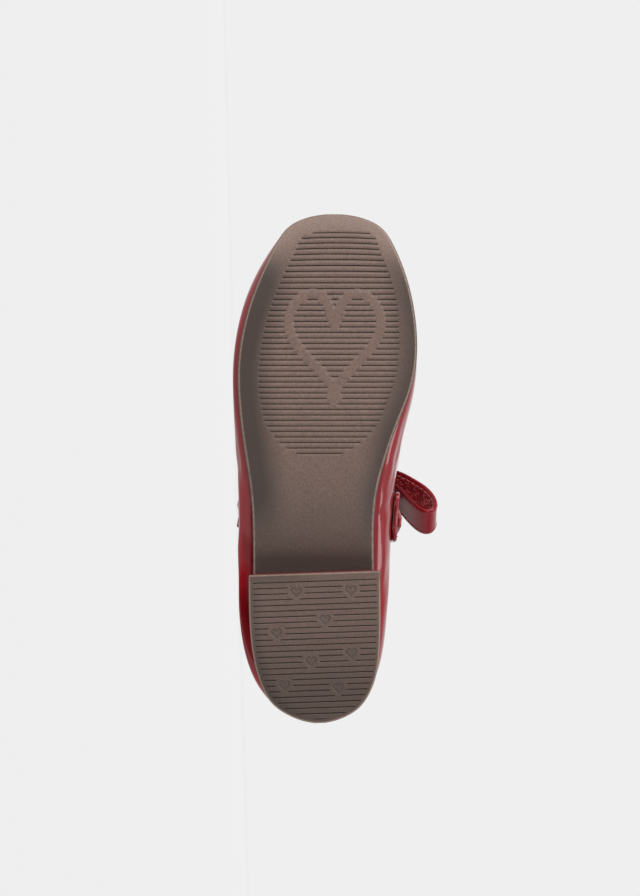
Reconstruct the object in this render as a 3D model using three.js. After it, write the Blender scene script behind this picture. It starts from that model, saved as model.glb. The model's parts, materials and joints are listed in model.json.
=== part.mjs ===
import * as THREE from 'three';
import { ConvexHull } from 'three/addons/math/ConvexHull.js';

// A right mary jane shoe in red patent, size 28, with a ribbon bow on its instep strap.
// The shoe is drawn standing: x runs from the heel's back to the toe, y to the inner side of
// the foot, z up from the ground. At the end it is laid down on its outer side.

// Driving sizes, in millimetres
const soleLength = 190.6;
const ballWidth = 67;
const instepHeight = 60;
const heelHeight = 13;
const toeSpring = 7;
const foreSole = 4.2;
const waistSole = 3.2;
const liftThickness = 4;
const footbedThickness = 2.4;
const footbedClearance = 0.4;
const footbedRim = 2.6;
const wall = 1.6;
const gap = 0.3;

// Where the ball starts and ends its flat stretch, as shares of the sole's length
const flatBack = 0.59;
const flatFront = 0.79;
// The heel's front face crosses the sole here, leaning forward by this slope
const breastAt = 0.293;
const breastSlope = 0.034;
const heelFlareOuter = 1.2;
const heelFlareInner = 2.2;
// The heel takes this many outline stations on either side of the heel's tip
const heelReach = 5.75;
const heelSteps = 22;
const edgeBevel = 0.7;
const featherInset = 1.1;

// Binding along the topline
const bindingWidth = 2.4;
const bindingStep = 0.3;

// Strap: its back and front edge in outline stations, and how far it comes down each side
const strapBack = 6.7;
const strapFront = 8.3;
const strapThickness = 1.7;
const strapClearance = 0.6;
const strapOverlapOuter = 0.2;
const strapOverlapInner = 0.55;
const strapRiseBack = 24;
const strapRiseFront = 11;
const strapLean = 6.5;
const strapEndRounding = 0.16;

// Bow
const bowCentre = 8.5;
const bowForward = 2;
const ribbonWidth = 14;
const ribbonThickness = 1.5;
const loopReach = 39.5;
const loopDepth = 15.5;
const outerLoopShare = 0.985;
const knotWidth = 11;
const knotDepth = 9.5;
const knotLength = 12.5;
const tailWidth = 13;
const outerTailFlare = 5.1;

// How finely the curved pieces are cut
const aroundSteps = 72;
const wallSteps = 11;
const strapSteps = 26;
const loopSteps = 32;

// The sole's outline: one row a station from heel to toe, as shares of its length and of the
// ball's width to the outer and the inner side
const outline = [
  { along: 0.026, outer: 0.149, inner: 0.176 },
  { along: 0.052, outer: 0.242, inner: 0.257 },
  { along: 0.097, outer: 0.301, inner: 0.313 },
  { along: 0.157, outer: 0.337, inner: 0.333 },
  { along: 0.226, outer: 0.349, inner: 0.336 },
  { along: 0.299, outer: 0.351, inner: 0.334 },
  { along: 0.378, outer: 0.351, inner: 0.331 },
  { along: 0.451, outer: 0.361, inner: 0.346 },
  { along: 0.514, outer: 0.385, inner: 0.391 },
  { along: 0.577, outer: 0.41, inner: 0.449 },
  { along: 0.64, outer: 0.427, inner: 0.522 },
  { along: 0.703, outer: 0.429, inner: 0.563 },
  { along: 0.766, outer: 0.404, inner: 0.565 },
  { along: 0.829, outer: 0.356, inner: 0.541 },
  { along: 0.887, outer: 0.29, inner: 0.496 },
  { along: 0.939, outer: 0.215, inner: 0.432 },
  { along: 0.982, outer: 0.119, inner: 0.336 },
];
const heelTip = { along: 0.008, across: 0.015 };
const toeTip = { along: 1, across: 0.104 };

// The upper's sections, in turn round the shoe and every third station of the outline. Each
// runs from the sole's edge to the topline in one curve: top places the topline, low and high
// its two pulls outward and up, and reach how far the high pull leans back over the toes.
// along is a share of the sole's length, height of the instep's height, the rest of the ball's width
const sections = [
  { along: 0.018, across: 0.008, height: 0.975, lowOut: 0.075, lowUp: 0.15, reach: 0, highOut: 0.085, highUp: -0.21 },
  { along: 0.115, across: -0.215, height: 0.92, lowOut: 0.151, lowUp: -0.021, reach: 0, highOut: 0.17, highUp: -0.65 },
  { along: 0.3, across: -0.335, height: 0.745, lowOut: 0.157, lowUp: -0.038, reach: 0, highOut: 0.1, highUp: -0.624 },
  { along: 0.48, across: -0.315, height: 0.7, lowOut: 0.125, lowUp: -0.018, reach: 0.3, highOut: 0.115, highUp: -0.254 },
  { along: 0.595, across: -0.165, height: 0.665, lowOut: 0.125, lowUp: -0.008, reach: 0.55, highOut: 0.068, highUp: -0.409 },
  { along: 0.625, across: 0.01, height: 0.65, lowOut: 0.208, lowUp: 0.179, reach: 0.55, highOut: 0.023, highUp: -0.104 },
  { along: 0.63, across: 0.09, height: 0.648, lowOut: 0.03, lowUp: 0.21, reach: 0.56, highOut: 0, highUp: -0.04 },
  { along: 0.628, across: 0.185, height: 0.655, lowOut: 0.03, lowUp: 0.15, reach: 0.55, highOut: 0.02, highUp: -0.05 },
  { along: 0.6, across: 0.335, height: 0.685, lowOut: 0.085, lowUp: 0.08, reach: 0.45, highOut: 0.035, highUp: -0.05 },
  { along: 0.485, across: 0.385, height: 0.725, lowOut: 0.15, lowUp: 0.05, reach: 0.3, highOut: 0.1, highUp: -0.14 },
  { along: 0.3, across: 0.34, height: 0.76, lowOut: 0.15, lowUp: 0.02, reach: 0, highOut: 0.1, highUp: -0.19 },
  { along: 0.115, across: 0.225, height: 0.925, lowOut: 0.15, lowUp: 0.05, reach: 0, highOut: 0.11, highUp: -0.24 },
];

// One bow loop, seen along the ribbon's width, as shares of its reach and depth from the knot
const loopShape = [
  { out: 0.159, lift: 0.042 },
  { out: 0.329, lift: 0.481 },
  { out: 0.494, lift: 0.829 },
  { out: 0.62, lift: 0.687 },
  { out: 0.734, lift: 0.229 },
  { out: 0.861, lift: -0.113 },
  { out: 0.977, lift: -0.061 },
  { out: 1.01, lift: 0.274 },
  { out: 0.927, lift: 0.713 },
  { out: 0.772, lift: 1.061 },
  { out: 0.57, lift: 1.384 },
  { out: 0.329, lift: 1.177 },
  { out: 0.177, lift: 0.565 },
];

// Smooth closed curve through one column of rows, with the curvature of a cubic B-spline
function ringColumn(values, at) {
  const count = values.length;
  const pick = (i) => values[((i % count) + count) % count];
  const knot = (i) => pick(i) - (pick(i - 1) - 2 * pick(i) + pick(i + 1)) / 6;
  const base = Math.floor(at);
  const t = at - base;
  return (knot(base - 1) * (1 - t) ** 3 + knot(base) * (3 * t ** 3 - 6 * t ** 2 + 4)
    + knot(base + 1) * (-3 * t ** 3 + 3 * t ** 2 + 3 * t + 1) + knot(base + 2) * t ** 3) / 6;
}

const clamp = (x) => Math.min(1, Math.max(0, x));
const smooth = (x) => clamp(x) ** 2 * (3 - 2 * clamp(x));
const mix = (a, b, t) => a + (b - a) * t;

// Heights of the sole's two faces at a place along the shoe
function soleBottom(x) {
  const share = x / soleLength;
  const spring = toeSpring * clamp((share - flatFront) / (1 - flatFront)) ** 2;
  return spring + heelHeight * smooth((flatBack - share) / (flatBack - breastAt));
}

function soleTop(x) {
  const share = x / soleLength;
  return soleBottom(x) + mix(waistSole, foreSole, smooth((share - breastAt) / (flatBack - breastAt)));
}

// The outline as a closed ring: the heel's tip, the outer side, the toe's tip, the inner side
const ringPoints = [
  [heelTip.along, heelTip.across],
  ...outline.map((row) => [row.along, -row.outer]),
  [toeTip.along, toeTip.across],
  ...outline.slice().reverse().map((row) => [row.along, row.inner]),
].map(([along, across]) => new THREE.Vector2(along * soleLength, across * ballWidth));
const stations = ringPoints.length;
const ringX = ringPoints.map((p) => p.x);
const ringY = ringPoints.map((p) => p.y);

function outlineAt(u) {
  return new THREE.Vector2(ringColumn(ringX, u), ringColumn(ringY, u));
}

function outwardAt(u) {
  const step = 0.01;
  const run = outlineAt(u + step).sub(outlineAt(u - step)).normalize();
  return new THREE.Vector2(run.y, -run.x);
}

// One point of the upper's outside, u round the shoe in outline stations, v from sole to topline
function upperOutside(u, v) {
  const row = u / 3;
  const at = (name) => ringColumn(sections.map((s) => s[name]), row);
  const out = outwardAt(u);
  const foot = outlineAt(u).addScaledVector(out, -featherInset);
  const feather = new THREE.Vector3(foot.x, foot.y, soleTop(foot.x) + gap);
  const top = new THREE.Vector3(at('along') * soleLength, at('across') * ballWidth, at('height') * instepHeight);
  const outward = new THREE.Vector3(out.x, out.y, 0);
  const low = feather.clone().addScaledVector(outward, at('lowOut') * ballWidth);
  low.z += at('lowUp') * instepHeight;
  const high = top.clone().addScaledVector(outward, at('highOut') * ballWidth);
  high.x += at('reach') * (feather.x - top.x);
  high.y += at('reach') * (feather.y - top.y);
  high.z += at('highUp') * instepHeight;
  return new THREE.CubicBezierCurve3(feather, low, high, top).getPoint(v);
}

function upperNormal(u, v) {
  const du = 0.02;
  const dv = 0.01;
  const low = Math.max(0, v - dv);
  const high = Math.min(1, v + dv);
  const across = upperOutside(u + du, v).sub(upperOutside(u - du, v));
  const up = upperOutside(u, high).sub(upperOutside(u, low));
  return across.cross(up).normalize();
}

// A closed mesh from rings of points. Rings that don't close on each other get end faces of
// strips that join each ring point to its partner on the other side.
function loft(rings, closed, flipped = false) {
  const count = rings[0].length;
  const vertices = rings.flat();
  const faces = [];
  const last = closed ? rings.length : rings.length - 1;
  for (let r = 0; r < last; r++) {
    const a = r * count;
    const b = ((r + 1) % rings.length) * count;
    for (let i = 0; i < count; i++) {
      const j = (i + 1) % count;
      faces.push([a + i, a + j, b + j], [a + i, b + j, b + i]);
    }
  }
  if (!closed) {
    for (const [start, turn] of [[0, true], [(rings.length - 1) * count, false]]) {
      for (let i = 1; i < count - i + 1; i++) {
        const cap = [[i - 1, i, count - i], i > 1 ? [i - 1, count - i, count - i + 1] : null];
        for (const face of cap) {
          if (face === null || new Set(face).size < 3) continue;
          const placed = face.map((k) => start + (k % count));
          faces.push(turn ? placed.reverse() : placed);
        }
      }
    }
  }
  const geometry = new THREE.BufferGeometry();
  geometry.setAttribute('position', new THREE.Float32BufferAttribute(vertices.flatMap((p) => p.toArray()), 3));
  geometry.setIndex(faces.flatMap((f) => (flipped ? [f[0], f[2], f[1]] : f)));
  if (solidOf(geometry).volume < 0) return loft(rings, closed, !flipped);
  geometry.computeVertexNormals();
  return geometry;
}

function solidOf(geometry) {
  const position = geometry.getAttribute('position');
  const index = geometry.getIndex();
  const corner = (k) => new THREE.Vector3().fromBufferAttribute(position, index.getX(k));
  const centre = new THREE.Vector3();
  let volume = 0;
  for (let i = 0; i < index.count; i += 3) {
    const [a, b, c] = [corner(i), corner(i + 1), corner(i + 2)];
    const part = a.dot(b.clone().cross(c)) / 6;
    volume += part;
    centre.addScaledVector(a.add(b).add(c), part / 4);
  }
  return { volume, centre: centre.divideScalar(volume) };
}

const around = Array.from({ length: aroundSteps }, (_, i) => (i * stations) / aroundSteps);

// A ring of the outline drawn inward, at a height worked out from its place
function outlineRing(inset, height) {
  return around.map((u) => {
    const p = outlineAt(u).addScaledVector(outwardAt(u), -inset);
    return new THREE.Vector3(p.x, p.y, height(p.x));
  });
}

function makeOutsole() {
  return loft([
    outlineRing(edgeBevel, soleBottom),
    outlineRing(0, (x) => soleBottom(x) + edgeBevel),
    outlineRing(0, (x) => soleTop(x) - 2 * edgeBevel),
    outlineRing(edgeBevel, (x) => soleTop(x) - 1.5 * edgeBevel),
    outlineRing(edgeBevel, soleTop),
    outlineRing(featherInset + wall, soleTop),
  ], false);
}

// Heel pieces: the outline's back, flared, closed by the straight front face
function heelRing(flareShare, height) {
  const points = [];
  for (let i = -heelSteps; i <= heelSteps; i++) {
    const u = (i / heelSteps) * heelReach;
    const side = clamp(0.5 - outlineAt(u).y / ballWidth / 0.6);
    const flare = mix(heelFlareInner, heelFlareOuter, side) * flareShare;
    const p = outlineAt(u).addScaledVector(outwardAt(u), flare);
    points.push(new THREE.Vector3(p.x, p.y, height));
  }
  for (const end of [points[0], points[points.length - 1]]) {
    end.x = breastAt * soleLength + breastSlope * end.y;
  }
  return [...points.slice(heelSteps), ...points.slice(0, heelSteps)];
}

function makeTopLift() {
  const bevel = edgeBevel / 2;
  return loft([
    heelRing(0.7, 0),
    heelRing(1, bevel),
    heelRing(1, liftThickness - bevel),
    heelRing(0.8, liftThickness),
  ], false);
}

function makeHeelBlock() {
  const top = heelHeight - gap;
  return loft([
    heelRing(0.35, liftThickness + gap),
    heelRing(0.1, (liftThickness + top) / 2),
    heelRing(0.2, top),
  ], false);
}

function makeInsole() {
  const inset = featherInset + wall + gap + footbedClearance;
  return loft([
    outlineRing(inset, (x) => soleTop(x) + gap),
    outlineRing(inset, (x) => soleTop(x) + gap + footbedThickness),
    outlineRing(inset + footbedRim, (x) => soleTop(x) + gap + footbedThickness),
  ], false);
}

// The upper's wall: outside from sole to topline with the binding's step, then the lining down
function makeUpper() {
  const outside = (v, lift) => around.map((u) => upperOutside(u, v).addScaledVector(upperNormal(u, v), lift));
  const height = upperOutside(stations / 4, 0).distanceTo(upperOutside(stations / 4, 1));
  const bound = 1 - bindingWidth / height;
  const rings = [];
  for (let i = 0; i <= wallSteps; i++) rings.push(outside((bound * i) / wallSteps, 0));
  rings.push(outside(bound + 0.004, bindingStep));
  rings.push(outside(1 - 0.012, bindingStep));
  rings.push(outside(1, -0.3 * wall));
  rings.push(outside(1 - 0.012, -wall));
  for (let i = wallSteps - 1; i >= 1; i--) rings.push(outside((bound * i) / wallSteps, -wall));
  rings.push(outlineRing(featherInset + wall, (x) => soleTop(x) + gap));
  return loft(rings, true);
}

// Strap: lies on the wall at both sides and arches over the instep between them.
// a runs from the outer end over the instep to the inner end, w from its back to its front edge
const outerPart = 0.16;
const innerPart = 0.2;

function strapSide(station, v, direction) {
  const u = direction < 0 ? station : stations - station;
  return upperOutside(u, v).addScaledVector(upperNormal(u, v), strapClearance);
}

function strapMiddle(a, w) {
  const station = mix(strapBack, strapFront, w);
  if (a < outerPart) {
    const v = 1 - strapOverlapOuter * (1 - a / outerPart);
    return strapSide(station, v, -1);
  }
  if (a > 1 - innerPart) {
    const v = 1 - (strapOverlapInner * (a - 1 + innerPart)) / innerPart;
    return strapSide(station, v, 1);
  }
  const t = (a - outerPart) / (1 - outerPart - innerPart);
  const from = strapSide(station, 1, -1);
  const to = strapSide(station, 1, 1);
  const rise = mix(strapRiseBack, strapRiseFront, w) * 4;
  const leave = from.clone().sub(strapSide(station, 0.96, -1)).normalize().multiplyScalar(rise);
  const arrive = strapSide(station, 0.96, 1).sub(to).normalize().multiplyScalar(rise);
  const p = new THREE.Vector3()
    .addScaledVector(from, 2 * t ** 3 - 3 * t ** 2 + 1)
    .addScaledVector(leave, t ** 3 - 2 * t ** 2 + t)
    .addScaledVector(to, 3 * t ** 2 - 2 * t ** 3)
    .addScaledVector(arrive, t ** 3 - t ** 2);
  p.x -= strapLean * w * Math.sin(Math.PI * t) ** 2;
  return p;
}

function strapNormal(a, w) {
  const da = 0.01;
  const dw = 0.05;
  const run = strapMiddle(Math.min(1, a + da), w).sub(strapMiddle(Math.max(0, a - da), w));
  const side = strapMiddle(a, Math.min(1, w + dw)).sub(strapMiddle(a, Math.max(0, w - dw)));
  return side.cross(run).normalize();
}

function strapPoint(a, w, lift) {
  return strapMiddle(a, w).addScaledVector(strapNormal(a, w), lift);
}

// A band's section: its two faces with the edges rounded off
function bandSection(point, thickness, w0 = 0, w1 = 1) {
  const edge = 0.04 * (w1 - w0);
  const inside = [w0 + edge, mix(w0, w1, 1 / 3), mix(w0, w1, 2 / 3), w1 - edge];
  return [
    point(w0, thickness / 2),
    ...inside.map((w) => point(w, 0)),
    point(w1, thickness / 2),
    ...inside.slice().reverse().map((w) => point(w, thickness)),
  ];
}

function makeStrap() {
  const rings = [];
  for (let i = 0; i <= strapSteps; i++) {
    const a = i / strapSteps;
    const end = Math.min(a, 1 - a) * strapSteps;
    const round = end < 1 ? strapEndRounding : 0;
    rings.push(bandSection((w, lift) => strapPoint(a, w, lift), strapThickness, round, 1 - round));
  }
  return loft(rings, false);
}

// The bow's own frame: out along the strap, back up the ribbon's width, away from the instep
const crownA = outerPart + (1 - outerPart - innerPart) * 0.56;
const away = strapNormal(crownA, 0.5);
away.y = 0;
away.normalize();
const across = new THREE.Vector3(0, 1, 0);
const backUp = new THREE.Vector3().crossVectors(away, across).negate();
const strapTop = strapPoint(crownA, 0.5, strapThickness);
const tailLayer = gap + ribbonThickness;
const knotCentre = new THREE.Vector3(strapTop.x, bowCentre, strapTop.z)
  .addScaledVector(away, tailLayer + knotDepth / 2).addScaledVector(backUp, -bowForward);

function bowPoint(out, width, lift) {
  return knotCentre.clone().addScaledVector(across, out)
    .addScaledVector(backUp, width).addScaledVector(away, lift);
}

function makeLoop(side, share) {
  const outs = loopShape.map((p) => p.out * loopReach * share);
  const lifts = loopShape.map((p) => p.lift * loopDepth);
  const rings = [];
  const centre = (at) => [ringColumn(outs, at), ringColumn(lifts, at)];
  for (let i = 0; i < loopSteps; i++) {
    const at = (i / loopSteps) * loopShape.length;
    const [out, lift] = centre(at);
    const [nextOut, nextLift] = centre(at + 0.05);
    const run = new THREE.Vector2(nextOut - out, nextLift - lift).normalize();
    const gather = mix(0.62, 1, smooth(out / (0.55 * loopReach)));
    rings.push(bandSection((w, depth) => bowPoint(
      side * (out - run.y * depth),
      (w - 0.5) * ribbonWidth * gather,
      lift - knotDepth / 2 + ribbonThickness + run.x * depth,
    ), ribbonThickness));
  }
  return loft(rings, true);
}

function makeKnot() {
  const rings = [];
  const steps = 10;
  for (let i = 0; i <= steps; i++) {
    const share = (2 * i) / steps - 1;
    const swell = 0.72 + 0.28 * Math.sqrt(1 - 0.96 * share ** 2);
    const ring = [];
    for (let k = 0; k < 20; k++) {
      const angle = (k / 20) * 2 * Math.PI;
      const corner = (f) => Math.sign(f) * Math.abs(f) ** 0.7;
      ring.push(bowPoint(
        corner(Math.cos(angle)) * (knotWidth / 2) * swell,
        (share * knotLength) / 2,
        corner(Math.sin(angle)) * (knotDepth / 2) * swell,
      ));
    }
    rings.push(ring);
  }
  return loft(rings, false);
}

// A tail lies on the strap from under the knot down one side, slanting back, and ends in a point
function makeTail(fromA, toA, slant, flare) {
  const rings = [];
  const steps = 12;
  for (let i = 0; i <= steps; i++) {
    const t = i / steps;
    const a = mix(fromA, toA, t);
    const narrow = mix(1, 0.35, clamp((t - 0.88) / 0.12));
    const width = (tailWidth / 24) * narrow;
    const middle = 0.5 - slant * t;
    rings.push(bandSection(
      (w, lift) => strapPoint(a, w, strapThickness + gap + lift + flare * t ** 2 * (1 - 0.5 * w)),
      ribbonThickness, middle - width / 2, middle + width / 2,
    ));
  }
  return loft(rings, false);
}

// Materials
const finish = (color, roughness) => new THREE.MeshStandardMaterial({ color, roughness, metalness: 0 });
const patent = finish(0x8f1f28, 0.12);
const rubber = finish(0x6b5850, 0.7);
const lining = finish(0xb9a58f, 0.8);

const shoe = new THREE.Group();
const weights = { outsole: 1.2, top_lift: 1.2 };
const otherWeight = 0.9;

function add(name, geometry, material) {
  const mesh = new THREE.Mesh(geometry, material);
  mesh.name = name;
  shoe.add(mesh);
}

add('outsole', makeOutsole(), rubber);
add('top_lift', makeTopLift(), rubber);
add('heel_block', makeHeelBlock(), patent);
add('insole', makeInsole(), lining);
add('upper', makeUpper(), patent);
add('instep_strap', makeStrap(), patent);
add('bow_loop_medial', makeLoop(1, 1), patent);
add('bow_loop_lateral', makeLoop(-1, outerLoopShare), patent);
add('bow_knot', makeKnot(), patent);
add('bow_tail_medial', makeTail(crownA + 0.02, 0.93, 0.1, 0), patent);
add('bow_tail_lateral', makeTail(crownA - 0.02, 0.17, 0.1, outerTailFlare), patent);

// The shoe lies on its outer side, so it is turned until the hull's face below its centre of
// mass is level. That face touches the ball, the back of the quarter and the strap's end.
function layDown(group) {
  const centre = new THREE.Vector3();
  let mass = 0;
  const points = [];
  for (const mesh of group.children) {
    const solid = solidOf(mesh.geometry);
    const weight = solid.volume * (weights[mesh.name] ?? otherWeight);
    mass += weight;
    centre.addScaledVector(solid.centre, weight);
    const position = mesh.geometry.getAttribute('position');
    for (let i = 0; i < position.count; i++) points.push(new THREE.Vector3().fromBufferAttribute(position, i));
  }
  centre.divideScalar(mass);
  const hull = new ConvexHull().setFromPoints(points);
  const down = new THREE.Vector3(0, -1, 0);
  let best = null;
  for (const face of hull.faces) {
    const hit = new THREE.Ray(centre, down).intersectPlane(
      new THREE.Plane().setFromNormalAndCoplanarPoint(face.normal, face.midpoint), new THREE.Vector3());
    if (hit === null || face.normal.dot(down) < 0.8) continue;
    const corners = [face.edge.head().point, face.edge.next.head().point, face.edge.prev.head().point];
    if (new THREE.Triangle(...corners).containsPoint(hit)) best = face.normal.clone();
  }
  const up = best.negate();
  const toe = new THREE.Vector3(1, 0, 0).addScaledVector(up, -up.x).normalize().negate();
  const turn = new THREE.Matrix4().makeBasis(toe, new THREE.Vector3().crossVectors(up, toe), up).transpose();
  group.setRotationFromMatrix(turn);
  group.updateMatrixWorld(true);
  const box = new THREE.Box3().setFromObject(group, true);
  const middle = box.getCenter(new THREE.Vector3());
  group.position.set(-middle.x, -middle.y, -box.min.z);
}

layDown(shoe);

export default shoe;
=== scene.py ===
import json
import math

import bpy
import numpy as np
from mathutils import Matrix, Vector


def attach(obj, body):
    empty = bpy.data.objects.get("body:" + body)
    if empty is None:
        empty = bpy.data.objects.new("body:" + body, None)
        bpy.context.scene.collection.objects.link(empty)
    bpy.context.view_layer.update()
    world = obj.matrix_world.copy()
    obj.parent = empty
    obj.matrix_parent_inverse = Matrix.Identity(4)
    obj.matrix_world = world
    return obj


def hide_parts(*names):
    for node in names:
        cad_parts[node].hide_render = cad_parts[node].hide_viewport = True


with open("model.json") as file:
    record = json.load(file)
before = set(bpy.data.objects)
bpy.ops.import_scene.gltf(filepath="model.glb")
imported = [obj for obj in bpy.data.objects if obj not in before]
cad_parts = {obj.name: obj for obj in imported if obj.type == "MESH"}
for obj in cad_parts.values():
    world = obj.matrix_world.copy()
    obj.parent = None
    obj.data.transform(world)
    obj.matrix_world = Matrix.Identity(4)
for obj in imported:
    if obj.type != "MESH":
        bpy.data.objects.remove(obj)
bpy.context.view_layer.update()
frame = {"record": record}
print("frame loaded")

# The shoe's own frame, in millimetres: x from heel to toe, y to the inner side, z up from the
# ground. Its two ground faces are the record's mounts, so they place it.
mounts = {m["name"]: m for m in frame["record"]["mounts"]}
heelSpot = (28.0, 0.0)
ballSpot = (130.0, 4.5)
heelAt = np.array(mounts["heel_ground_face"]["pos_m"])
ballAt = np.array(mounts["forefoot_ground_face"]["pos_m"])
upDir = -np.array(mounts["heel_ground_face"]["axis"])
upDir /= np.linalg.norm(upDir)
spotRun = (ballAt - heelAt) / np.linalg.norm(ballAt - heelAt)
sideRun = np.cross(upDir, spotRun)
swing = math.atan2(ballSpot[1] - heelSpot[1], ballSpot[0] - heelSpot[0])
toeDir = spotRun * math.cos(swing) - sideRun * math.sin(swing)
innerDir = np.cross(upDir, toeDir)
shoeAxes = np.array([toeDir, innerDir, upDir])
shoeOrigin = heelAt - heelSpot[0] / 1000 * toeDir - heelSpot[1] / 1000 * innerDir


def toRow(points):
    return shoeOrigin + np.asarray(points, float) / 1000 @ shoeAxes


# Sizes that every piece shares, the same as the solids'
last = {
    "soleLength": 190.6, "ballWidth": 67.0, "instepHeight": 60.0, "heelHeight": 13.0,
    "toeSpring": 7.0, "foreSole": 4.2, "waistSole": 3.2, "liftThickness": 4.0,
    "wall": 1.6, "gap": 0.3, "flatBack": 0.59, "flatFront": 0.79,
    "breastAt": 0.293, "breastSlope": 0.034, "featherInset": 1.1, "edgeBevel": 0.7,
}
outline = [  # along, outer and inner side, as shares of the sole's length and the ball's width
    (0.026, 0.149, 0.176), (0.052, 0.242, 0.257), (0.097, 0.301, 0.313), (0.157, 0.337, 0.333),
    (0.226, 0.349, 0.336), (0.299, 0.351, 0.334), (0.378, 0.351, 0.331), (0.451, 0.361, 0.346),
    (0.514, 0.385, 0.391), (0.577, 0.41, 0.449), (0.64, 0.427, 0.522), (0.703, 0.429, 0.563),
    (0.766, 0.404, 0.565), (0.829, 0.356, 0.541), (0.887, 0.29, 0.496), (0.939, 0.215, 0.432),
    (0.982, 0.119, 0.336),
]
heelTip = (0.008, 0.015)
toeTip = (1.0, 0.104)
sections = {  # the upper's sections in turn round the shoe, one column a pull of its curve
    "along": [0.018, 0.115, 0.3, 0.48, 0.595, 0.625, 0.63, 0.628, 0.6, 0.485, 0.3, 0.115],
    "across": [0.008, -0.215, -0.335, -0.315, -0.165, 0.01, 0.09, 0.185, 0.335, 0.385, 0.34, 0.225],
    "height": [0.975, 0.92, 0.745, 0.7, 0.665, 0.65, 0.648, 0.655, 0.685, 0.725, 0.76, 0.925],
    "lowOut": [0.075, 0.151, 0.157, 0.125, 0.125, 0.208, 0.03, 0.03, 0.085, 0.15, 0.15, 0.15],
    "lowUp": [0.15, -0.021, -0.038, -0.018, -0.008, 0.179, 0.21, 0.15, 0.08, 0.05, 0.02, 0.05],
    "reach": [0, 0, 0, 0.3, 0.55, 0.55, 0.56, 0.55, 0.45, 0.3, 0, 0],
    "highOut": [0.085, 0.17, 0.1, 0.115, 0.068, 0.023, 0, 0.02, 0.035, 0.1, 0.1, 0.11],
    "highUp": [-0.21, -0.65, -0.624, -0.254, -0.409, -0.104, -0.04, -0.05, -0.05, -0.14, -0.19,
               -0.24],
}


def ringColumn(values, at):
    values = np.asarray(values, float)
    knots = values - (np.roll(values, 1) - 2 * values + np.roll(values, -1)) / 6
    at = np.asarray(at, float)
    base = np.floor(at).astype(int)
    t = at - base
    pick = [knots[(base + k) % len(values)] for k in (-1, 0, 1, 2)]
    return (pick[0] * (1 - t) ** 3 + pick[1] * (3 * t ** 3 - 6 * t ** 2 + 4)
            + pick[2] * (-3 * t ** 3 + 3 * t ** 2 + 3 * t + 1) + pick[3] * t ** 3) / 6


def smooth(x):
    x = np.clip(x, 0, 1)
    return x * x * (3 - 2 * x)


def unit(v):
    return v / np.maximum(np.linalg.norm(v, axis=-1, keepdims=True), 1e-9)


def soleBottom(x):
    share = np.asarray(x) / last["soleLength"]
    front = last["flatFront"]
    spring = last["toeSpring"] * np.clip((share - front) / (1 - front), 0, 9) ** 2
    arch = smooth((last["flatBack"] - share) / (last["flatBack"] - last["breastAt"]))
    return spring + last["heelHeight"] * arch


def soleTop(x):
    share = np.asarray(x) / last["soleLength"]
    blend = smooth((share - last["breastAt"]) / (last["flatBack"] - last["breastAt"]))
    return soleBottom(x) + last["waistSole"] + (last["foreSole"] - last["waistSole"]) * blend


ringPoints = np.array(
    [heelTip] + [(a, -o) for a, o, i in outline] + [toeTip] + [(a, i) for a, o, i in outline[::-1]]
) * (last["soleLength"], last["ballWidth"])
stations = len(ringPoints)


def outlineAt(u):
    return np.stack([ringColumn(ringPoints[:, 0], u), ringColumn(ringPoints[:, 1], u)], -1)


def outwardAt(u):
    run = unit(outlineAt(u + 0.01) - outlineAt(u - 0.01))
    return np.stack([run[..., 1], -run[..., 0]], -1)


def upperOutside(u, v):
    u, v = np.broadcast_arrays(np.asarray(u, float), np.asarray(v, float))
    pull = {name: ringColumn(column, u / 3) for name, column in sections.items()}
    out = outwardAt(u)
    foot = outlineAt(u) - out * last["featherInset"]
    feather = np.stack([foot[..., 0], foot[..., 1], soleTop(foot[..., 0]) + last["gap"]], -1)
    top = np.stack([pull["along"] * last["soleLength"], pull["across"] * last["ballWidth"],
                    pull["height"] * last["instepHeight"]], -1)
    outward = np.stack([out[..., 0], out[..., 1], 0 * u], -1)
    rise = np.array([0.0, 0.0, last["instepHeight"]])
    lean = (feather - top) * np.array([1.0, 1.0, 0.0])
    low = (feather + outward * (pull["lowOut"] * last["ballWidth"])[..., None]
           + pull["lowUp"][..., None] * rise)
    high = (top + outward * (pull["highOut"] * last["ballWidth"])[..., None]
            + pull["reach"][..., None] * lean + pull["highUp"][..., None] * rise)
    v = v[..., None]
    return ((1 - v) ** 3 * feather + 3 * v * (1 - v) ** 2 * low
            + 3 * v * v * (1 - v) * high + v ** 3 * top)


def upperNormal(u, v):
    u, v = np.broadcast_arrays(np.asarray(u, float), np.asarray(v, float))
    along = upperOutside(u + 0.02, v) - upperOutside(u - 0.02, v)
    up = upperOutside(u, np.minimum(1, v + 0.01)) - upperOutside(u, np.maximum(0, v - 0.01))
    return unit(np.cross(along, up))


# Mesh building
def gridFaces(rows, columns, closeRows=False, closeColumns=False):
    r = np.arange(rows if closeRows else rows - 1)[:, None]
    c = np.arange(columns if closeColumns else columns - 1)[None, :]
    nextR, nextC = (r + 1) % rows, (c + 1) % columns
    corners = [r * columns + c, r * columns + nextC, nextR * columns + nextC, nextR * columns + c]
    return np.stack([np.broadcast_to(k, (len(r), c.shape[1])) for k in corners], -1).reshape(-1, 4)


def bandFaces(rows, size, closed=False):
    # a closed band, or a tube with a cap at each end
    faces = [list(f) for f in gridFaces(rows, size, closeRows=closed, closeColumns=True)]
    if not closed:
        faces += [list(range(size))[::-1], [(rows - 1) * size + k for k in range(size)]]
    return faces


def signedVolume(points, faces):
    total = 0.0
    corners = {}
    for face in faces:
        corners.setdefault(len(face), []).append(face)
    for size, group in corners.items():
        p = points[np.array(group)]
        for k in range(1, size - 1):
            total += np.sum(p[:, 0] * np.cross(p[:, k], p[:, k + 1]))
    return total


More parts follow.
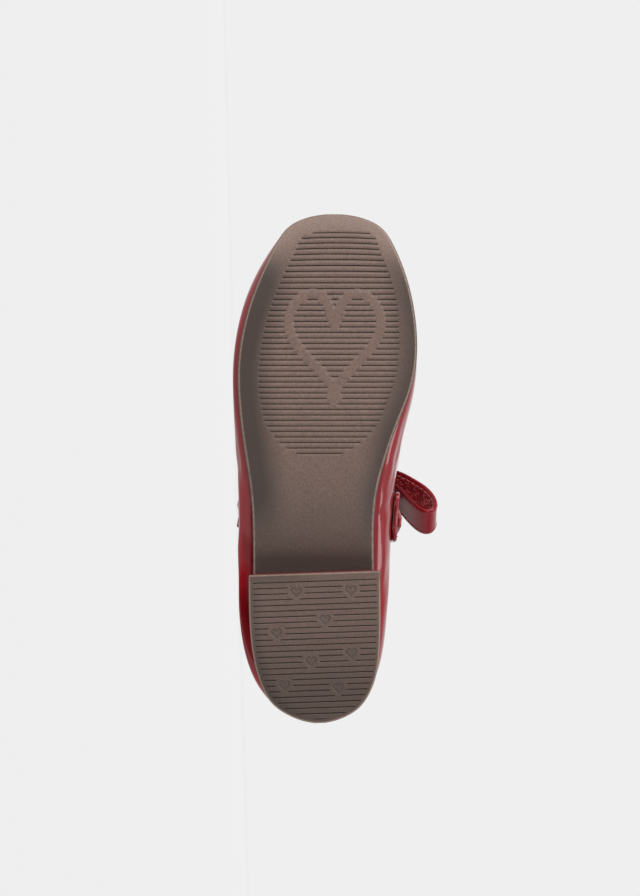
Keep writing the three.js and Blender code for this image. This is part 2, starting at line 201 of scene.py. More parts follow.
def makePiece(name, points, faces, materials, slots=None, replaces=(), values=None):
    points = np.asarray(points, float).reshape(-1, 3)
    faces = [list(map(int, f)) for f in faces]
    if signedVolume(points - points.mean(0), faces) < 0:
        faces = [f[::-1] for f in faces]
    mesh = bpy.data.meshes.new(name)
    mesh.from_pydata(toRow(points).tolist(), [], faces)
    mesh.update()
    for material in materials:
        mesh.materials.append(material)
    if slots is not None:
        mesh.polygons.foreach_set("material_index", np.asarray(slots, np.int32))
    for label, spread in (values or {}).items():
        layer = mesh.attributes.new(label, "FLOAT", "POINT")
        layer.data.foreach_set("value", np.asarray(spread, np.float32).ravel())
    mesh.polygons.foreach_set("use_smooth", np.ones(len(faces), bool))
    piece = bpy.data.objects.new(name, mesh)
    bpy.context.scene.collection.objects.link(piece)
    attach(piece, "root")
    if replaces:
        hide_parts(*replaces)
    print("made", name, len(faces), "faces")


def capsules(starts, ends, radii, sides=6):
    # short threads with rounded ends, all in one list of points and faces
    starts, ends = np.asarray(starts, float), np.asarray(ends, float)
    run = unit(ends - starts)
    helper = np.where(np.abs(run[:, 2:3]) < 0.9, [[0, 0, 1.0]], [[1.0, 0, 0]])
    side = unit(np.cross(run, helper))
    other = np.cross(run, side)
    profile = [(-0.9, 0.15), (-0.45, 0.8), (0.0, 1.0), (1.0, 1.0), (1.45, 0.8), (1.9, 0.15)]
    radii = np.broadcast_to(np.asarray(radii, float), (len(starts),))[:, None]
    rings = []
    for place, share in profile:
        if place < 0:
            centre = starts + run * radii * place
        elif place > 1:
            centre = ends + run * radii * (place - 1)
        else:
            centre = starts + (ends - starts) * place
        for k in range(sides):
            angle = 2 * math.pi * k / sides
            turned = side * math.cos(angle) + other * math.sin(angle)
            rings.append(centre + radii * share * turned)
    points = np.stack(rings, 1)
    one = bandFaces(len(profile), sides)
    count = points.shape[1]
    faces = [[i * count + k for k in f] for i in range(len(points)) for f in one]
    return points.reshape(-1, 3), faces


def joinParts(parts):
    points, faces, offset = [], [], 0
    for p, f in parts:
        points.append(p)
        faces += [[k + offset for k in face] for face in f]
        offset += len(p)
    return np.concatenate(points), faces


def stitchRun(path, normals, stitch, raised=0.12):
    # stitches of one length along a path of points, each dipping into its holes
    path = np.asarray(path, float)
    steps = np.linalg.norm(np.diff(path, axis=0), axis=1)
    place = np.concatenate([[0], np.cumsum(steps)])
    starts = np.arange(stitch["gap"], place[-1] - stitch["length"], stitch["length"] + stitch["gap"])
    at = lambda s, data: np.stack([np.interp(s, place, data[:, k]) for k in range(3)], -1)
    lift = stitch["radius"] * raised
    first = at(starts, path) + at(starts, normals) * lift
    final = at(starts + stitch["length"], path) + at(starts + stitch["length"], normals) * lift
    return capsules(first, final, stitch["radius"])


# Materials
class Shade:
    # a socket in a node tree; sums, products and comparisons with it add Math nodes
    def __init__(self, tree, socket=None):
        self.tree = tree
        self.socket = socket

    def node(self, kind, settings=None, inputs=None, output=0):
        made = self.tree.nodes.new(kind)
        for name, value in (settings or {}).items():
            setattr(made, name, value)
        for name, value in (inputs or {}).items():
            if isinstance(value, Shade):
                self.tree.links.new(value.socket, made.inputs[name])
            else:
                made.inputs[name].default_value = value
        return Shade(self.tree, made.outputs[output])

    def math(self, operation, a, b):
        return self.node("ShaderNodeMath", {"operation": operation}, {0: a, 1: b})

    def __add__(self, other):
        return self.math("ADD", self, other)

    def __radd__(self, other):
        return self.math("ADD", other, self)

    def __sub__(self, other):
        return self.math("SUBTRACT", self, other)

    def __rsub__(self, other):
        return self.math("SUBTRACT", other, self)

    def __mul__(self, other):
        return self.math("MULTIPLY", self, other)

    def __rmul__(self, other):
        return self.math("MULTIPLY", other, self)

    def __gt__(self, other):
        return self.math("GREATER_THAN", self, other)


def linear(r, g, b):
    channel = lambda c: (c / 255 / 12.92) if c <= 10 else ((c / 255 + 0.055) / 1.055) ** 2.4
    return (channel(r), channel(g), channel(b), 1.0)


def surface(name, fixed, linked):
    material = bpy.data.materials.new(name)
    material.use_nodes = True
    tree = material.node_tree
    shader = tree.nodes["Principled BSDF"]
    for socket, value in fixed.items():
        shader.inputs[socket].default_value = value
    for socket, value in linked(Shade(tree)).items():
        tree.links.new(value.socket, shader.inputs[socket])
    return material


def noiseOf(shade, size, detail=3.0, rough=0.5):
    return shade.node("ShaderNodeTexNoise", {}, {
        "Vector": shade.node("ShaderNodeTexCoord", output=3), "Scale": 1 / size,
        "Detail": detail, "Roughness": rough})


def cellsOf(shade, size, output=0):
    place = shade.node("ShaderNodeTexCoord", output=3)
    return shade.node("ShaderNodeTexVoronoi", {}, {"Vector": place, "Scale": 1 / size}, output)


def mixed(shade, factor, a, b):
    return shade.node("ShaderNodeMix", {"data_type": "RGBA"}, {0: factor, 6: a, 7: b}, 2)


def bumped(shade, height, strength, distance):
    return shade.node("ShaderNodeBump", {}, {
        "Strength": strength, "Distance": distance, "Height": height})


def attribute(shade, name):
    return shade.node("ShaderNodeAttribute", {"attribute_name": name}, output=2)


# The darkest red here is a painted-shade red: the fold attribute mixes it into the bow loops' folds near
# the knot.
patent = {
    "deep": linear(122, 10, 20), "bright": linear(140, 16, 28), "foldShade": linear(58, 4, 10),
    "rough": 0.3, "drift": 0.03, "peel": 0.0009, "peelStrength": 0.05, "peelDepth": 0.0002, "coat": 0.85,
}


def patentLook(shade):
    drift = noiseOf(shade, patent["drift"], 2.0)
    peel = noiseOf(shade, patent["peel"], 1.0)
    # Painted shade: where the fold attribute is set, the colour darkens toward the painted-shade red and
    # the coat thins.
    fold = attribute(shade, "fold")
    plain = mixed(shade, drift, patent["deep"], patent["bright"])
    return {
        "Base Color": mixed(shade, fold, plain, patent["foldShade"]),
        "Coat Weight": patent["coat"] - fold * patent["coat"],
        "Normal": bumped(shade, peel, patent["peelStrength"], patent["peelDepth"]),
    }


patentRed = surface("patentRed", {
    "Roughness": patent["rough"], "Specular IOR Level": 0.25, "Coat Roughness": 0.03,
    "Coat IOR": 1.42}, patentLook)
ribbonRed = surface("ribbonRed", {
    "Roughness": 0.35, "IOR": 1.2, "Specular IOR Level": 0.3, "Coat Roughness": 0.05,
    "Coat IOR": 1.35}, patentLook)

# Of these colours, the two darkest browns are painted shade, the first with some darker tone of the
# rubber, and the palest brown is wear on the rim together with a painted highlight on the toe.
rubber = {
    "brown": linear(122, 99, 88), "shade": linear(93, 73, 65), "shadeAndTone": linear(57, 43, 37),
    "recessShadeColour": linear(48, 38, 34), "wearAndHighlight": linear(162, 138, 124),
    "grain": 0.0008, "mottle": 0.012, "cell": 0.0011, "wearAndHighlightMix": 0.6, "bump": 0.5, "bumpDepth": 0.0003,
}


def rubberLook(shade):
    mottle = noiseOf(shade, rubber["mottle"], 4.0, 0.6)
    grain = noiseOf(shade, rubber["grain"], 3.0, 0.7)
    cells = cellsOf(shade, rubber["cell"])
    base = mixed(shade, mottle * 0.5 + grain * 2.4 - 0.95, rubber["shade"], rubber["brown"])
    # Painted shade with some darker tone of the rubber: mixes toward the dark brown where this attribute
    # is set.
    shadedBase = mixed(shade, attribute(shade, "shadeAndTone"), base, rubber["shadeAndTone"])
    # Wear on the rim together with a painted highlight on the toe: mixes toward the pale brown.
    wearAndHighlight = mixed(shade, attribute(shade, "wearAndHighlight") * rubber["wearAndHighlightMix"], shadedBase, rubber["wearAndHighlight"])
    return {
        # Painted shade in the grooves and the hearts' outlines: mixes toward the darkest brown.
        "Base Color": mixed(shade, attribute(shade, "recessShade"), wearAndHighlight, rubber["recessShadeColour"]),
        "Roughness": mottle * 0.2 + 0.42,
        "Normal": bumped(shade, grain * 0.7 + cells * 0.3, rubber["bump"], rubber["bumpDepth"]),
    }


rubberBrown = surface("rubberBrown", {"IOR": 1.5}, rubberLook)

glitter = {
    "deep": linear(64, 2, 8), "bright": linear(188, 22, 36), "fleck": linear(240, 96, 104),
    "fleckSize": 0.00055, "fleckOver": 0.86, "fuzz": 0.0012, "bump": 0.6, "bumpDepth": 0.0004,
}


def liningLook(shade):
    flecks = cellsOf(shade, glitter["fleckSize"], output=1)
    bright = shade.node("ShaderNodeSeparateColor", {}, {"Color": flecks}) > glitter["fleckOver"]
    fuzz = noiseOf(shade, glitter["fuzz"])
    base = mixed(shade, fuzz * 2.2 - 0.6, glitter["deep"], glitter["bright"])
    return {
        "Base Color": mixed(shade, bright * 0.7, base, glitter["fleck"]),
        "Roughness": 0.75 - bright * 0.4,
        "Normal": bumped(shade, fuzz, glitter["bump"], glitter["bumpDepth"]),
    }


liningRed = surface("liningRed", {"IOR": 1.45, "Specular IOR Level": 0.15}, liningLook)

beige = {
    "deep": linear(196, 176, 152), "bright": linear(211, 193, 170), "grain": 0.0012, "drift": 0.02,
    "bump": 0.25, "bumpDepth": 0.0003,
}


def footbedLook(shade):
    grain = noiseOf(shade, beige["grain"], 4.0)
    drift = noiseOf(shade, beige["drift"], 2.0)
    return {
        "Base Color": mixed(shade, drift, beige["deep"], beige["bright"]),
        "Roughness": grain * 0.15 + 0.5,
        "Normal": bumped(shade, grain, beige["bump"], beige["bumpDepth"]),
    }


liningBeige = surface("liningBeige", {"IOR": 1.45}, footbedLook)

thread = {
    "deep": linear(110, 14, 24), "bright": linear(158, 34, 44), "paleDeep": linear(196, 92, 98),
    "paleBright": linear(236, 156, 158), "twist": 0.0003, "bump": 0.4, "bumpDepth": 0.0001,
}


def threadLook(shade):
    twist = noiseOf(shade, thread["twist"], 2.0)
    return {
        "Base Color": mixed(shade, twist, thread["deep"], thread["bright"]),
        "Normal": bumped(shade, twist, thread["bump"], thread["bumpDepth"]),
    }


threadRed = surface("threadRed", {"Roughness": 0.55}, threadLook)


def paleThreadLook(shade):
    twist = noiseOf(shade, thread["twist"], 2.0)
    return {"Base Color": mixed(shade, twist, thread["paleDeep"], thread["paleBright"])}


threadPale = surface("threadPale", {"Roughness": 0.5}, paleThreadLook)
print("materials ready")

# Upper: the lasted wall with its bound topline, beige lining inside
upperLook = {
    "aroundSteps": 320, "wallRows": 60, "liningRows": 22, "bindingWidth": 2.4, "bindingStep": 0.3,
    "stitch": {"length": 2.1, "gap": 0.7, "radius": 0.24}, "stitchDrop": 0.03,
    "creases": [  # troughs in the wall: from station, share to station, share; width, depth in mm
        ((12.6, 0.52), (14.6, 0.8), 3.2, 0.35),
        ((13.4, 0.42), (15.6, 0.72), 3.0, 0.3),
        ((23.4, 0.5), (21.2, 0.8), 3.2, 0.35),
        ((22.6, 0.4), (20.6, 0.72), 2.8, 0.25),
        ((4.6, 0.1), (6.2, 0.36), 2.6, 0.4),
        ((6.4, 0.08), (7.5, 0.42), 2.4, 0.3),
        ((9.4, 0.1), (8.7, 0.4), 2.4, 0.3),
        ((31.2, 0.1), (29.8, 0.38), 2.6, 0.4),
        ((28.8, 0.08), (28.0, 0.4), 2.4, 0.3),
        ((26.6, 0.12), (27.2, 0.44), 2.2, 0.25),
        ((5.6, 0.12), (8.8, 0.16), 1.5, 0.3),
        ((7.6, 0.22), (10.6, 0.12), 1.3, 0.25),
        ((30.6, 0.14), (27.4, 0.2), 1.5, 0.3),
        ((28.4, 0.26), (25.6, 0.16), 1.3, 0.25),
    ],
}


def creaseLift(points):
    lift = np.zeros(points.shape[:-1])
    for start, end, width, depth in upperLook["creases"]:
        a = upperOutside(start[0], start[1])
        b = upperOutside(end[0], end[1])
        t = np.clip(((points - a) @ (b - a)) / np.dot(b - a, b - a), 0, 1)
        away = np.linalg.norm(points - (a + t[..., None] * (b - a)), axis=-1)
        fade = np.sin(np.pi * np.clip(t * 0.9 + 0.05, 0, 1))
        lift -= depth * fade * np.exp(-(away / width) ** 2)
        lift += 0.45 * depth * fade * np.exp(-((away - 1.9 * width) / width) ** 2)
    return lift


def makeUpper():
    u = np.arange(upperLook["aroundSteps"]) * stations / upperLook["aroundSteps"]
    sideHeight = np.linalg.norm(upperOutside(stations / 4, 0.0) - upperOutside(stations / 4, 1.0))
    bound = 1 - upperLook["bindingWidth"] / sideHeight
    wall, step = last["wall"], upperLook["bindingStep"]
    profile = [(bound * k / upperLook["wallRows"], 0.0) for k in range(upperLook["wallRows"] + 1)]
    profile += [(bound + 0.001, 0.1), (bound + 0.006, 0.24), (bound + 0.02, step)]
    profile += [(0.975, step), (0.99, 0.24), (0.998, 0.05), (1.0, -0.25 * wall)]
    profile += [(1.0, -0.55 * wall), (0.996, -0.85 * wall), (0.985, -wall)]
    wallCount = len(profile)
    rows = upperLook["liningRows"]
    profile += [(bound * (1 - k / rows), -wall) for k in range(rows)]
    rings = []
    for v, lift in profile:
        p = upperOutside(u, v)
        n = upperNormal(u, v)
        if v < 0.97:
            lift = lift + creaseLift(p)
        rings.append(p + n * np.broadcast_to(lift, u.shape)[:, None])
    foot = outlineAt(u) - outwardAt(u) * (last["featherInset"] + wall)
    rings.append(np.column_stack([foot, soleTop(foot[:, 0]) + last["gap"]]))
    faces = gridFaces(len(rings), len(u), closeRows=True, closeColumns=True)
    row = np.arange(len(faces)) // len(u)
    slots = ((row >= wallCount - 1) & (row < len(rings) - 1)).astype(int)
    makePiece("upper_wall", np.concatenate(rings), faces, [patentRed, liningBeige], slots,
              ["upper"])
    fine = np.linspace(0, stations, 1600)
    row = bound - upperLook["stitchDrop"]
    line = upperOutside(fine, row) + upperNormal(fine, row) * 0.05
    points, faces = stitchRun(line, upperNormal(fine, row), upperLook["stitch"])
    makePiece("topline_stitches", points, faces, [threadRed])


makeUpper()


# Rubber plates: a face of fine rows across the shoe, its side walls and its back
def ringEnds(ring, slope, at):
    f = ring[:, 0] - slope * ring[:, 1]
    low, high = int(np.argmin(f)), int(np.argmax(f))
    ring = np.roll(ring, -low, axis=0)
    f = np.roll(f, -low)
    high = (high - low) % len(ring)
    outer = np.interp(at, f[:high + 1], ring[:high + 1, 1])
    inner = np.interp(at, f[high:][::-1], ring[high:, 1][::-1])
    return outer, inner


def plate(rowsAt, columns, ring, slope, relief, sides, archOf=None):
    outer, inner = ringEnds(ring, slope, rowsAt)
    across = np.linspace(0, 1, columns)
    y = outer[:, None] + (inner - outer)[:, None] * across
    x = rowsAt[:, None] + slope * y
    if archOf is not None:
        x = x + archOf(rowsAt)[:, None] * (1 - (2 * across - 1) ** 2)
    z, values = relief(x, y, rowsAt)
    points = [np.stack([x, y, z], -1).reshape(-1, 3)]
    faces = [list(f) for f in gridFaces(len(rowsAt), columns)]
    rows = len(rowsAt)
    index = np.arange(rows * columns).reshape(rows, columns)
    edge = np.concatenate([index[:, 0], index[-1, 1:-1], index[::-1, -1], index[0, -2:0:-1]])
    loop = points[0][edge]
    run = unit(np.roll(loop[:, :2], -1, 0) - np.roll(loop[:, :2], 1, 0))
    normal = np.stack([run[:, 1], -run[:, 0]], -1)
    if np.sum(normal * (loop[:, :2] - loop[:, :2].mean(0))) < 0:
        normal = -normal
    previous = edge
    offset = rows * columns
    for out, height in sides:
        xy = loop[:, :2] + normal * out
        points.append(np.column_stack([xy, height(xy[:, 0])]))
        current = np.arange(len(edge)) + offset
        for k in range(len(edge)):
            n = (k + 1) % len(edge)
            faces.append([previous[k], previous[n], current[n], current[k]])
        previous = current
        offset += len(edge)
    outerSide = previous[:rows]
    innerSide = previous[rows + columns - 2:2 * rows + columns - 2][::-1]
    for k in range(rows - 1):  # the plate's back
        front = list(previous[rows:rows + columns - 2]) if k == rows - 2 else []
        rear = list(previous[2 * rows + columns - 2:]) if k == 0 else []
        faces.append([outerSide[k], outerSide[k + 1]] + front + [innerSide[k + 1], innerSide[k]] + rear)
    spread = {}
    for label, value in values.items():
        atEdge = value.reshape(-1)[edge]
        reach = 1 if label == "wearAndHighlight" else len(sides)  # only the rim itself gets the wear and the toe's painted highlight
        spread[label] = np.concatenate(
            [value.reshape(-1)] + [atEdge * (k < reach) for k in range(len(sides))])
    return np.concatenate(points), faces, spread


def heartRing(width, height, centre, count=120):
    # the usual heart curve, its lobes to the toe
    t = np.linspace(0, 2 * np.pi, count, endpoint=False)
    side = np.sin(t) ** 3
    along = (13 * np.cos(t) - 4.2 * np.cos(2 * t) - 1.6 * np.cos(3 * t) - np.cos(4 * t)) / 27.8
    return np.column_stack([along * height, side * width / 2]) + centre


def edgeDistance(ring, x, y):
    # how far each place on the plate lies from its edge
    p = np.stack([x.ravel(), y.ravel()], -1)
    away = np.empty(len(p))
    batch = 4000
    for k in range(0, len(p), batch):
        part = p[k:k + batch]
        square = (part ** 2).sum(-1)[:, None] + (ring ** 2).sum(-1)[None] - 2 * part @ ring.T
        away[k:k + batch] = square.min(1)
    return np.sqrt(np.maximum(away, 0)).reshape(x.shape)


def ringDistance(ring, x, y):
    # how far each place lies inside a ring, negative outside
    p = np.stack([x, y], -1).reshape(-1, 1, 2)
    a = ring[None]
    b = np.roll(ring, -1, 0)[None]
    run = b - a
    t = np.clip(np.sum((p - a) * run, -1) / np.sum(run * run, -1), 0, 1)
    away = np.min(np.linalg.norm(p - a - t[..., None] * run, axis=-1), 1)
    crosses = (a[..., 1] > p[..., 1]) != (b[..., 1] > p[..., 1])
    slope = run[..., 0] / np.where(run[..., 1] == 0, 1e-9, run[..., 1])
    hit = p[..., 0] < a[..., 0] + (p[..., 1] - a[..., 1]) * slope
    inside = np.sum(crosses & hit, 1) % 2 == 1
    return np.where(inside, away, -away).reshape(x.shape)


# Outsole: ball with cross ribs and a plain heart band, bare waist
tread = {
    "first": 182.5, "pitch": 2.047, "count": 41, "half": 0.13, "shoulder": 0.08, "depth": 0.5,
    "insetOuter": 7.9, "insetInner": 6.8, "columns": 200,
    "taperOuter": (121.0, -20.3), "taperInner": (137.8, 30.9), "taperEnd": 99.0, "taperMiddle": 1.5,
    "heartWidth": 38.1, "heartHeight": 43.1, "heartBand": 3.7, "heartAt": (144.4, 7.35),
    "heartSpots": [(121.6, 7.0, 3.0), (152.0, 7.4, 3.4), (148.6, 7.4, 1.9)],
    "toeInset": 1.5, "innerInset": 0.9, "soften": 0.45, "rim": 0.05, "archLift": 0.9,
    # Painted shade at the ball's margins, over the waist and toward the back, a painted shadow of the
    # heel at the breast, painted shade in the grooves that deepens toward the toe, and a painted
    # highlight on the toe end; the rim's wear is real.
    "shadeOuter": 1.25, "outerReach": 16, "shadeInner": 0.85, "innerReach": 12, "shadeWaist": 0.6,
    "shadeBack": 0.12, "breastShadow": 0.5, "grooveShade": 0.35, "toeGrooveShade": 0.6, "toeHighlight": 0.45,
    "edgeWear": 0.35,
}


def grooveRows(centres, shape):
    half, shoulder = shape["half"], shape["shoulder"]
    steps = [-half - shoulder, -half, half, half + shoulder]
    return np.concatenate([[c + s for s in steps] for c in centres])


def grooveDepth(rowsAt, centres, shape):
    near = np.min(np.abs(rowsAt[:, None] - np.asarray(centres)[None]), 1)
    return 1 - smooth((near - shape["half"]) / shape["shoulder"])


def makeOutsole():
    u = np.linspace(0, stations, 1440, endpoint=False)
    ring = outlineAt(u) - outwardAt(u) * last["edgeBevel"]
    centres = tread["first"] - tread["pitch"] * np.arange(tread["count"])
    low, high = np.min(ring[:, 0]), np.max(ring[:, 0])
    plain = np.concatenate([
        low + (high - low) * (1 - np.cos(np.linspace(0.03, 0.9, 14))) / 2,
        np.linspace(14, centres[-1] - 1.2, 70),
        np.linspace(centres[0] + 1.2, high - 1.5, 7), high - np.array([1.0, 0.6, 0.3, 0.1]),
    ])
    rowsAt = np.unique(np.round(np.concatenate([plain, grooveRows(centres, tread)]), 4))
    heart = heartRing(tread["heartWidth"], tread["heartHeight"], np.array(tread["heartAt"]))

    def relief(x, y, rowsAt):
        edge = edgeDistance(ring, x, y)
        middle = tread["taperMiddle"]
        inset = np.where(y > middle, tread["insetInner"], tread["insetOuter"]) - last["edgeBevel"]
        inset = inset - tread["toeInset"] * smooth((x - 174) / 9)
        inset = inset - tread["innerInset"] * smooth((x - 140) / 20) * (y > middle)
        field = edge - inset
        for (start, reach), side in ((tread["taperOuter"], -1), (tread["taperInner"], 1)):
            share = np.clip((start - x) / (start - tread["taperEnd"]), 0, 1)
            limit = middle + (reach - middle) * np.sqrt(1 - share ** 2)
            beyond = (limit - y) * side
            field = np.where((x < start) & ((y - middle) * side > 0), np.minimum(field, beyond), field)
        near = np.abs(x - tread["heartAt"][0]) < 0.8 * tread["heartHeight"]
        band = np.full(x.shape, -9.0)
        inHeart = ringDistance(heart, x[near], y[near])
        band[near] = np.minimum(inHeart, tread["heartBand"] - inHeart)
        for along, across, radius in tread["heartSpots"]:
            band = np.maximum(band, radius - np.hypot(x - along, y - across))
        mask = smooth(field / 0.5 + 0.5) * (1 - smooth(band / tread["soften"] + 0.5))
        cut = grooveDepth(rowsAt, centres, tread)[:, None] * mask
        rim = tread["rim"] * np.exp(-(band / tread["soften"]) ** 2)
        inBall = smooth((185 - x) / 25) * smooth((x - 60) / 30)
        outerEdge = smooth(1 - edge / tread["outerReach"]) * smooth((4 - y) / 20) * inBall
        innerEdge = smooth(1 - edge / tread["innerReach"]) * smooth((y - 8) / 20) * inBall
        waist = smooth((100 - x) / 45)
        back = smooth((150 - x) / 60)
        # Painted shade with some darker tone of the rubber: darker at the ball's outer and inner
        # margins, over the waist and toward the back.
        shadeAndTone = (tread["shadeOuter"] * outerEdge + tread["shadeInner"] * innerEdge
                + (tread["shadeWaist"] * waist + tread["shadeBack"] * back) * (1 - outerEdge))
        # Painted shadow of the heel on the waist, just before the breast.
        shadeAndTone = shadeAndTone + tread["breastShadow"] * smooth((66 - x) / 9)
        # Painted shade in the grooves, deeper toward the toe.
        dark = tread["grooveShade"] + tread["toeGrooveShade"] * smooth((x - 105) / 70)
        # Painted highlight on the toe end, together with wear on the rim itself.
        toeHighlight = tread["toeHighlight"] * smooth((x - 168) / 14) * smooth(1 - edge / 9)
        wearAndHighlight = np.maximum(smooth(1 - edge / tread["edgeWear"]), toeHighlight)
        values = {"recessShade": cut * dark, "shadeAndTone": np.clip(shadeAndTone, 0, 1), "wearAndHighlight": wearAndHighlight}
        return soleBottom(x) + tread["depth"] * cut + rim, values

    archOf = lambda at: tread["archLift"] * smooth((at - 160) / 18) * smooth((186 - at) / 5)
    bevel = last["edgeBevel"]
    sides = [
        (0.35 * bevel, lambda x: soleBottom(x) + 0.12 * bevel),
        (0.8 * bevel, lambda x: soleBottom(x) + 0.5 * bevel),
        (bevel, lambda x: soleBottom(x) + bevel),
        (bevel, lambda x: soleTop(x) - 2 * bevel),
        (0.55 * bevel, lambda x: soleTop(x) - 1.75 * bevel),
        (0.1 * bevel, lambda x: soleTop(x) - 1.5 * bevel),
        (0.1 * bevel, lambda x: soleTop(x) - 0.3 * bevel),
        (-0.2 * bevel, soleTop),
    ]
    points, faces, values = plate(rowsAt, tread["columns"], ring, 0.0, relief, sides, archOf)
    makePiece("outsole_rubber", points, faces, [rubberBrown], replaces=["outsole"],
              values=values)


makeOutsole()

# Heel: rubber lift with slanting ribs and small hearts, on a block covered in patent
heel = {
    "flareOuter": 1.2, "flareInner": 2.2, "first": 53.1, "pitch": 2.14, "count": 25,
    "half": 0.14, "shoulder": 0.09, "depth": 0.5, "inset": 1.1, "columns": 190,
    "heartSize": 4.4, "heartPlain": 1.25, "heartDepth": 0.3, "frontStation": 5.75,
    # Painted shade and darker tone of the rubber over the whole lift, more at its outer edge and toward
    # its back; wear on the rim.
    "shadeAndTone": 0.4, "shadeOuter": 0.3, "shadeBack": 0.4, "edgeWear": 0.35, "blockFront": 0.4,
    "hearts": [(49.1, -7.1), (49.8, 13.3), (38.9, 3.6), (33.8, -14.4), (26.4, 13.5), (23.4, -1.6),
               (14.5, -11.5), (13.5, 8.5)],
}


def heelRing(flareShare, count=500):
    # the outline's back, flared, closed by the straight front face
    u = np.linspace(-heel["frontStation"], heel["frontStation"], count)
    p = outlineAt(u)
    side = np.clip(0.5 - p[:, 1] / last["ballWidth"] / 0.6, 0, 1)
    flare = (heel["flareInner"] + (heel["flareOuter"] - heel["flareInner"]) * side) * flareShare
    p = p + outwardAt(u) * flare[:, None]
    front = last["breastAt"] * last["soleLength"]
    for end in (0, -1):
        p[end, 0] = front + last["breastSlope"] * p[end, 1]
    return np.roll(p, -(count // 2), axis=0)


def makeLift():
    bevel = last["edgeBevel"] / 2
    ring = heelRing(0.7)
    slope = last["breastSlope"]
    centres = heel["first"] - heel["pitch"] * np.arange(heel["count"])
    f = ring[:, 0] - slope * ring[:, 1]
    low, high = f.min(), f.max()
    cuts = grooveRows(centres, heel)
    plain = np.arange(low + 0.1, high - 0.2, 0.3)
    plain = plain[np.min(np.abs(plain[:, None] - cuts[None]), 1) > 0.08]
    rowsAt = np.unique(np.round(np.concatenate([plain, cuts[cuts > low + 0.15], [high - 1e-4]]), 4))

    half = len(ring) - len(ring) // 2
    outerCorner, innerCorner = ring[half - 1], ring[half]
    denseAt = np.linspace(0, len(ring), 1600)
    wrapped = np.vstack([ring, ring[:1]])
    wrappedAt = np.arange(len(wrapped))
    denseRing = np.stack([np.interp(denseAt, wrappedAt, wrapped[:, k]) for k in (0, 1)], -1)
    share = np.linspace(0, 1, 200)[:, None]
    denseRing = np.vstack([denseRing, outerCorner * share + innerCorner * (1 - share)])

    def relief(x, y, rowsAt):
        edge = edgeDistance(denseRing, x, y)
        mask = smooth((edge - heel["inset"]) / 0.5 + 0.5)
        dip = np.zeros_like(x)
        for along, across in heel["hearts"]:
            near = (np.abs(x - along) < 6) & (np.abs(y - across) < 6)
            small = heartRing(heel["heartSize"], heel["heartSize"], np.array([along, across]), 60)
            inside = ringDistance(small, x[near], y[near])
            mask[near] *= smooth((-inside - heel["heartPlain"]) / 0.4 + 0.5)
            dip[near] = smooth((inside + 0.1) / 0.35) - 0.6 * smooth((inside - 0.4) / 0.4)
        cut = grooveDepth(rowsAt, centres, heel)[:, None] * mask
        # Painted shade with some darker tone of the rubber: over the whole lift, more at its outer edge
        # and toward its back.
        shadeAndTone = (heel["shadeOuter"] * smooth(1 - edge / 6) * smooth((4 - y) / 20)
                + heel["shadeAndTone"] + heel["shadeBack"] * smooth((45 - x) / 40))
        # Painted shade in the ribs' grooves and the hearts' engraved outlines.
        values = {"recessShade": np.clip(0.5 * cut + 0.5 * dip, 0, 1), "shadeAndTone": np.clip(shadeAndTone, 0, 1),
                  "wearAndHighlight": smooth(1 - edge / heel["edgeWear"])}
        return heel["depth"] * cut + heel["heartDepth"] * dip, values

    top = last["liftThickness"]
    sides = [
        (0.35 * bevel, lambda x: 0 * x + 0.35 * bevel),
        (bevel, lambda x: 0 * x + bevel),
        (bevel, lambda x: 0 * x + top - bevel),
        (0.6 * bevel, lambda x: 0 * x + top),
    ]
    points, faces, values = plate(rowsAt, heel["columns"], ring, slope, relief, sides)
    makePiece("heel_lift_rubber", points, faces, [rubberBrown], replaces=["top_lift"],
              values=values)


makeLift()


def makeBlock():
    top = last["heelHeight"] - last["gap"]
    base = last["liftThickness"] + last["gap"]
    flares = [(0.22, base), (0.33, base + 0.25), (0.33, base + 0.8), (0.12, (base + top) / 2),
              (0.18, top - 0.6), (0.08, top)]
    count = 241
    front = 40
    rings = []
    for flare, height in flares:
        arc = heelRing(flare, count)
        half = count - count // 2
        outerEnd, innerEnd = arc[half - 1], arc[half]
        cross = outerEnd + (innerEnd - outerEnd) * np.linspace(0, 1, front + 2)[1:-1, None]
        cross = cross + [heel["blockFront"], 0.0]
        ring = np.concatenate([arc[:half], cross, arc[half:]])
        rings.append(np.column_stack([ring, np.full(len(ring), height)]))
    makePiece("heel_block_cover", np.concatenate(rings), bandFaces(len(rings), len(rings[0])),
              [patentRed], replaces=["heel_block"])


makeBlock()

# Footbed
footbed = {"thickness": 2.4, "inset": 0.4, "edge": 0.5, "steps": 240}


def makeFootbed():
    steps = footbed["steps"]
    u = np.arange(steps) * stations / steps
    base = last["featherInset"] + last["wall"] + last["gap"] + footbed["inset"]
    thick, edge = footbed["thickness"], footbed["edge"]
    rings = []
    for inset, lift in [(0, 0), (0, thick - edge), (0.3 * edge, thick - 0.2 * edge), (edge, thick),
                        (3.5, thick), (7, thick - 0.15), (12, thick - 0.3)]:
        xy = outlineAt(u) - outwardAt(u) * (base + inset)
        rings.append(np.column_stack([xy, soleTop(xy[:, 0]) + last["gap"] + lift]))
    faces = [list(f) for f in gridFaces(len(rings), steps, closeColumns=True)]
    half = steps // 2
    for start in (0, (len(rings) - 1) * steps):
        for k in range(1, half):  # strips across, from the heel's tip to the toe's
            face = [k - 1, k, steps - k] + ([steps - k + 1] if k > 1 else [])
            face = [start + i for i in face]
            faces.append(face[::-1] if start == 0 else face)
        tip = [start + half - 1, start + half, start + half + 1]
        faces.append(tip[::-1] if start == 0 else tip)
    makePiece("footbed", np.concatenate(rings), faces, [liningBeige], replaces=["insole"])


makeFootbed()

